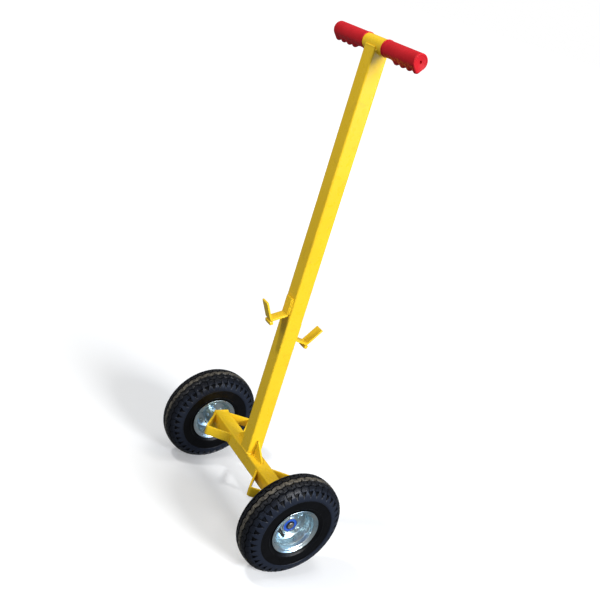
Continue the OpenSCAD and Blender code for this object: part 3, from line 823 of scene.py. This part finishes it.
def make_wheel_parts():
    """Pressed rim halves, bolts, valve and bearing shields of each wheel."""
    dish = rounded_profile(RIM_PROFILE, 1.6, 5)
    for side, word in SIDES.items():
        for half, sign in (("outer", 1), ("inner", -1)):
            profile = [(sign * u, r) for u, r in dish]
            rim = turned(f"{word}_pressed_{half}_rim", side, profile, RIM_COLUMNS, "zinc_plate",
                         crease=RIM_CREASE)
            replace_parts(rim, f"{word}_rim_{half}_half")
        make_bolts(side, word)

        places = [(VALVE_CIRCLE, math.radians(BOLT_TURN[side] + VALVE_TURN))]
        stem = turned(word + "_rubber_valve", side, VALVE_PROFILE, VALVE_COLUMNS, "black_rubber", places,
                      crease=VALVE_CREASE)
        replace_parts(stem, word + "_valve_stem")
        cap = turned(word + "_knurled_cap", side, CAP_PROFILE, CAP_COLUMNS, "black_rubber", places, knurl,
                     CAP_CREASE)
        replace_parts(cap, word + "_valve_cap")

        verts, faces = turned_mesh(side, SHIELD_PROFILE, SHIELD_COLUMNS)
        mirrored = [(SHIELDS_U - u, r) for u, r in SHIELD_PROFILE]
        more, again = turned_mesh(side, mirrored, SHIELD_COLUMNS)
        faces += renumbered(again, len(verts))
        seals = add_piece(word + "_lip_seals", verts + more, faces, "seal_blue", word + "_wheel")
        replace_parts(mend(seals, SHIELD_CREASE), word + "_bearing_seals")


# ---------- finishes ----------

class Finish:
    """A node material with one main shader, and short ways to vary its colour, roughness and relief."""

    def __init__(self, name, **values):
        self.material = bpy.data.materials.new(name)
        self.material.use_nodes = True
        self.tree = self.material.node_tree
        self.tree.nodes.clear()
        out = self.tree.nodes.new("ShaderNodeOutputMaterial")
        self.shader = self.tree.nodes.new("ShaderNodeBsdfPrincipled")
        self.tree.links.new(self.shader.outputs["BSDF"], out.inputs["Surface"])
        for key, value in values.items():
            self.shader.inputs[key.replace("_", " ")].default_value = value
        self.place = self.tree.nodes.new("ShaderNodeTexCoord").outputs["Object"]

    def feed(self, socket, value):
        """Links another node's output into a socket, or sets the socket to a plain value."""
        if isinstance(value, bpy.types.NodeSocket):
            self.tree.links.new(value, socket)
        else:
            socket.default_value = value

    def node(self, kind, **inputs):
        """A shader node with its inputs fed by name."""
        node = self.tree.nodes.new("ShaderNode" + kind)
        for key, value in inputs.items():
            self.feed(node.inputs[key.replace("_", " ")], value)
        return node

    def noise(self, scale, detail=3, roughness=0.5, distortion=0, stretch=None):
        """Noise with this many features to a metre."""
        place = self.place
        if stretch:
            mapping = self.node("Mapping", Vector=self.place)
            mapping.inputs["Scale"].default_value = stretch
            place = mapping.outputs["Vector"]
        return self.node("TexNoise", Vector=place, Scale=scale, Detail=detail, Roughness=roughness,
                         Distortion=distortion).outputs["Fac"]

    def spread(self, value, low, high, start=0.3, end=0.7):
        """value, from start to end, drawn out to low to high."""
        node = self.node("MapRange", Value=value)
        for key, number in (("From Min", start), ("From Max", end), ("To Min", low), ("To Max", high)):
            node.inputs[key].default_value = number
        return node.outputs["Result"]

    def mix(self, factor, first, second):
        """Colour between first and second."""
        node = self.tree.nodes.new("ShaderNodeMix")
        node.data_type = "RGBA"
        for socket, value in ((0, factor), (6, first), (7, second)):
            self.feed(node.inputs[socket], value)
        return node.outputs[2]

    def painted(self, label):
        """What a mesh says in the attribute of this name."""
        node = self.tree.nodes.new("ShaderNodeAttribute")
        node.attribute_name = label
        return node.outputs["Fac"]

    def relief(self, heights):
        """Bumps on bumps: pairs of height and depth in metres."""
        normal = None
        for height, depth in heights:
            bump = self.node("Bump", Height=height, Distance=depth, Strength=1.0)
            if normal:
                self.tree.links.new(normal, bump.inputs["Normal"])
            normal = bump.outputs["Normal"]
        self.tree.links.new(normal, self.shader.inputs["Normal"])

    def set(self, name, socket):
        """Links another node's output into an input of the main shader."""
        self.tree.links.new(socket, self.shader.inputs[name])


def rgb(r, g, b):
    """An opaque colour."""
    return (r, g, b, 1)


def paint():
    """Gloss enamel over bar and tube: orange peel, thin spots and a little shop dirt."""
    f = Finish("yellow_enamel", Coat_Weight=0.06, Coat_Roughness=0.15, Specular_IOR_Level=0.22)
    broad = f.spread(f.noise(9, 3), 0, 1)
    tone = f.mix(broad, rgb(0.86, 0.545, 0.017), rgb(0.90, 0.590, 0.024))
    specks = f.spread(f.noise(420, 4, 0.65), 0, 1, 0.66, 0.74)
    smears = f.spread(f.noise(34, 5, 0.62, 0.6), 0, 1, 0.58, 0.78)
    tone = f.mix(smears, tone, rgb(0.74, 0.47, 0.028))
    tone = f.mix(specks, tone, rgb(0.42, 0.27, 0.05))
    f.set("Base Color", tone)
    f.set("Roughness", f.spread(f.noise(55, 4), 0.22, 0.38))
    f.relief([(f.noise(26, 2), 0.00035), (f.noise(520, 2, 0.4), 0.00006)])
    return f.material


def vinyl():
    """Soft moulded vinyl with a fine stipple and a few scuffs."""
    f = Finish("red_vinyl", Specular_IOR_Level=0.07)
    tone = f.mix(f.spread(f.noise(28, 3), 0, 1), rgb(0.50, 0.012, 0.018), rgb(0.59, 0.018, 0.026))
    tone = f.mix(f.spread(f.noise(260, 5, 0.7), 0, 1, 0.64, 0.76), tone, rgb(0.36, 0.006, 0.012))
    f.set("Base Color", tone)
    f.set("Roughness", f.spread(f.noise(90, 4, 0.6), 0.30, 0.46))
    f.relief([(f.noise(60, 2), 0.0004), (f.noise(1500, 3, 0.55), 0.00016)])
    return f.material


def tyre_compound():
    """Black rubber, lifted to a painted blue-black sheen where its sheen attribute says, standing in for
    reflected sky light, with brown road dust where dust says.
    """
    f = Finish("tread_rubber", Specular_IOR_Level=0.14)
    patches = f.spread(f.noise(110, 6, 0.72), 0.15, 1.0, 0.38, 0.60)
    amount = f.node("Math")
    amount.operation = "MULTIPLY"
    f.feed(amount.inputs[0], f.painted("dust"))
    f.feed(amount.inputs[1], patches)
    black = f.mix(f.spread(f.noise(40, 4), 0, 1), rgb(0.0014, 0.0015, 0.0020), rgb(0.0028, 0.0030, 0.0040))
    # Painted sheen: a bluish lift of the black that stands in for sky light reflected off the shoulders and
    # ribs.
    black_with_painted_sheen = f.mix(f.painted("painted_sheen"), black, rgb(0.0130, 0.0170, 0.0280))
    f.set("Base Color", f.mix(amount.outputs[0], black_with_painted_sheen, rgb(0.145, 0.128, 0.100)))
    f.set("Roughness", f.spread(f.noise(70, 5, 0.6), 0.26, 0.40))
    f.relief([(f.noise(120, 3), 0.00035), (f.noise(1300, 3, 0.6), 0.00012)])
    return f.material


def smooth_rubber():
    """Plain black rubber of the valves."""
    f = Finish("valve_rubber")
    clouds = f.spread(f.noise(300, 4), 0, 1)
    f.set("Base Color", f.mix(clouds, rgb(0.012, 0.012, 0.013), rgb(0.026, 0.025, 0.025)))
    f.set("Roughness", f.spread(f.noise(400, 4), 0.42, 0.6))
    f.relief([(f.noise(1600, 2), 0.0001)])
    return f.material


def plated():
    """Bright zinc: clouded blue and straw tints, draw marks from the press and dull spots."""
    f = Finish("zinc_plating", Metallic=1.0)
    tint = f.mix(f.spread(f.noise(24, 2, 0.5, 0.6), 0, 1), rgb(0.52, 0.69, 0.77), rgb(0.78, 0.82, 0.80))
    tint = f.mix(f.spread(f.noise(210, 5, 0.65), 0, 1, 0.64, 0.82), tint, rgb(0.36, 0.41, 0.45))
    f.set("Base Color", tint)
    f.set("Roughness", f.spread(f.noise(75, 4, 0.6, 0.5), 0.25, 0.35))
    f.relief([(f.noise(40, 2), 0.00006)])
    return f.material


def ground_steel():
    """Dull turned steel with a warm film of oil."""
    f = Finish("ground_steel", Metallic=1.0)
    clouds = f.spread(f.noise(120, 5, 0.6), 0, 1)
    f.set("Base Color", f.mix(clouds, rgb(0.30, 0.27, 0.23), rgb(0.47, 0.44, 0.40)))
    f.set("Roughness", f.spread(f.noise(160, 4), 0.34, 0.55))
    f.relief([(f.noise(700, 3, 0.5, 0, (6, 1, 1)), 0.00006)])
    return f.material


def shield_rubber():
    """Blue rubber skin of the bearing shields."""
    f = Finish("blue_shield")
    clouds = f.spread(f.noise(180, 4), 0, 1)
    f.set("Base Color", f.mix(clouds, rgb(0.010, 0.06, 0.36), rgb(0.020, 0.10, 0.50)))
    f.set("Roughness", f.spread(f.noise(240, 4), 0.3, 0.46))
    f.relief([(f.noise(1100, 2), 0.00006)])
    return f.material


def oxide():
    """Spring steel with a black oxide skin, rubbed grey in places."""
    f = Finish("black_oxide_steel", Metallic=0.8)
    f.set("Base Color", f.mix(f.spread(f.noise(500, 5, 0.7), 0, 1, 0.5, 0.75), rgb(0.02, 0.02, 0.022),
                              rgb(0.14, 0.13, 0.12)))
    f.set("Roughness", f.spread(f.noise(300, 4), 0.3, 0.5))
    f.relief([(f.noise(900, 2), 0.00005)])
    return f.material


def pale_floor():
    """White studio floor that glows more further from the object, so that it stays white to its edge."""
    f = Finish("pale_floor")
    far = f.node("VectorMath", Vector=f.place)
    far.operation = "LENGTH"
    f.shader.inputs["Emission Color"].default_value = rgb(1, 1, 1)
    f.set("Emission Strength", f.spread(far.outputs["Value"], 0.20, 0.95, 0.6, 3.4))
    f.set("Base Color", f.mix(f.noise(3, 3), rgb(0.78, 0.78, 0.78), rgb(0.82, 0.82, 0.82)))
    f.set("Roughness", f.spread(f.noise(12, 3), 0.75, 0.9))
    return f.material


# ---------- studio ----------

LENS_MM = 51.62
CAMERA_PLACE = (1.5325, -1.1081, 1.3191)
CAMERA_RIGHT = (0.4742, 0.8341, 0.2818)
CAMERA_BACK = (0.7556, -0.5499, 0.3560)

# name, place, target, size, power, colour
LIGHTS = (
    ("key", (4.6, 0.9, 2.5), (0, 0, 0.6), 2.0, 300, (1, 1, 1)),
    ("top", (0.2, 0.5, 3.6), (0, 0, 0.6), 1.2, 26, (1, 1, 1)),
    ("front", (-0.6, -1.6, 3.2), (0, 0, 0.5), 0.35, 36, (1, 1, 1)),
    ("fill", (-0.5, -3.4, 2.2), (0, 0, 0.5), 1.6, 24, (1, 1, 1)),
    ("blue_side", (2.4, 1.3, 0.9), (0.2, 0, 0.2), 0.8, 14, (0.42, 0.62, 1)),
    ("blue_low", (2.0, -1.7, 0.35), (0.25, 0, 0.13), 0.5, 4, (0.45, 0.65, 1)),
)
# strength and colour of the surround, for the dolly and for the camera
SURROUND_LIGHT = (0.20, (0.90, 0.95, 1, 1))
SURROUND_SEEN = (1.0, (1, 1, 1, 1))
FLOOR_REACH = 60


def make_camera():
    """Camera set where the picture was taken from."""
    data = bpy.data.cameras.new("camera")
    data.sensor_width = 36
    data.lens = LENS_MM
    camera = bpy.data.objects.new("camera", data)
    bpy.context.scene.collection.objects.link(camera)
    right = Vector(CAMERA_RIGHT).normalized()
    back = Vector(CAMERA_BACK)
    back = (back - right * back.dot(right)).normalized()
    turn = Matrix((right, back.cross(right), back)).transposed().to_4x4()
    camera.matrix_world = Matrix.Translation(CAMERA_PLACE) @ turn
    bpy.context.scene.camera = camera


def make_light(name, place, target, size, power, colour):
    """A round soft light aimed at a point."""
    data = bpy.data.lights.new(name, "AREA")
    data.shape = "DISK"
    data.size = size
    data.energy = power
    data.color = colour
    light = bpy.data.objects.new(name, data)
    bpy.context.scene.collection.objects.link(light)
    light.location = place
    light.rotation_euler = (Vector(target) - Vector(place)).to_track_quat("-Z", "Y").to_euler()


def make_world():
    """A surround that the camera sees as white, and that lights the dolly only a little."""
    world = bpy.data.worlds.new("surround")
    world.use_nodes = True
    tree = world.node_tree
    tree.nodes.clear()
    out = tree.nodes.new("ShaderNodeOutputWorld")
    mixer = tree.nodes.new("ShaderNodeMixShader")
    path = tree.nodes.new("ShaderNodeLightPath")
    tree.links.new(path.outputs["Is Camera Ray"], mixer.inputs["Fac"])
    for socket, strength, colour in ((1, *SURROUND_LIGHT), (2, *SURROUND_SEEN)):
        glow = tree.nodes.new("ShaderNodeBackground")
        glow.inputs["Strength"].default_value = strength
        glow.inputs["Color"].default_value = colour
        tree.links.new(glow.outputs["Background"], mixer.inputs[socket])
    tree.links.new(mixer.outputs["Shader"], out.inputs["Surface"])
    bpy.context.scene.world = world
    bpy.context.scene.view_settings.view_transform = "Standard"


def make_floor():
    """A wide white floor that takes the shadow and neither lights the dolly nor shows in its reflections."""
    corners = [(-1, -1), (1, -1), (1, 1), (-1, 1)]
    mesh = bpy.data.meshes.new("floor")
    mesh.from_pydata([(x * FLOOR_REACH, y * FLOOR_REACH, 0) for x, y in corners], [], [(0, 1, 2, 3)])
    floor = show("floor", mesh, pale_floor())
    floor.visible_diffuse = False
    floor.visible_glossy = False


# ---------- the whole dolly ----------

FINISHES = {
    "yellow_paint": paint(),
    "red_grip": vinyl(),
    "tyre_rubber": tyre_compound(),
    "black_rubber": smooth_rubber(),
    "zinc_plate": plated(),
    "bearing_steel": ground_steel(),
    "seal_blue": shield_rubber(),
    "black_oxide": oxide(),
}


def finish_nodes():
    """Puts the finishes on the CAD parts by the names of their slots."""
    for node in NODES.values():
        for place, old in enumerate(node.data.materials):
            node.data.materials[place] = FINISHES[old.name.split(".")[0]]


finish_nodes()
make_brackets()
make_hooks()
make_gussets()
make_end_plates()
make_welds()
make_grips()
make_tyres()
make_wheel_parts()
make_camera()
for light in LIGHTS:
    make_light(*light)
make_world()
make_floor()
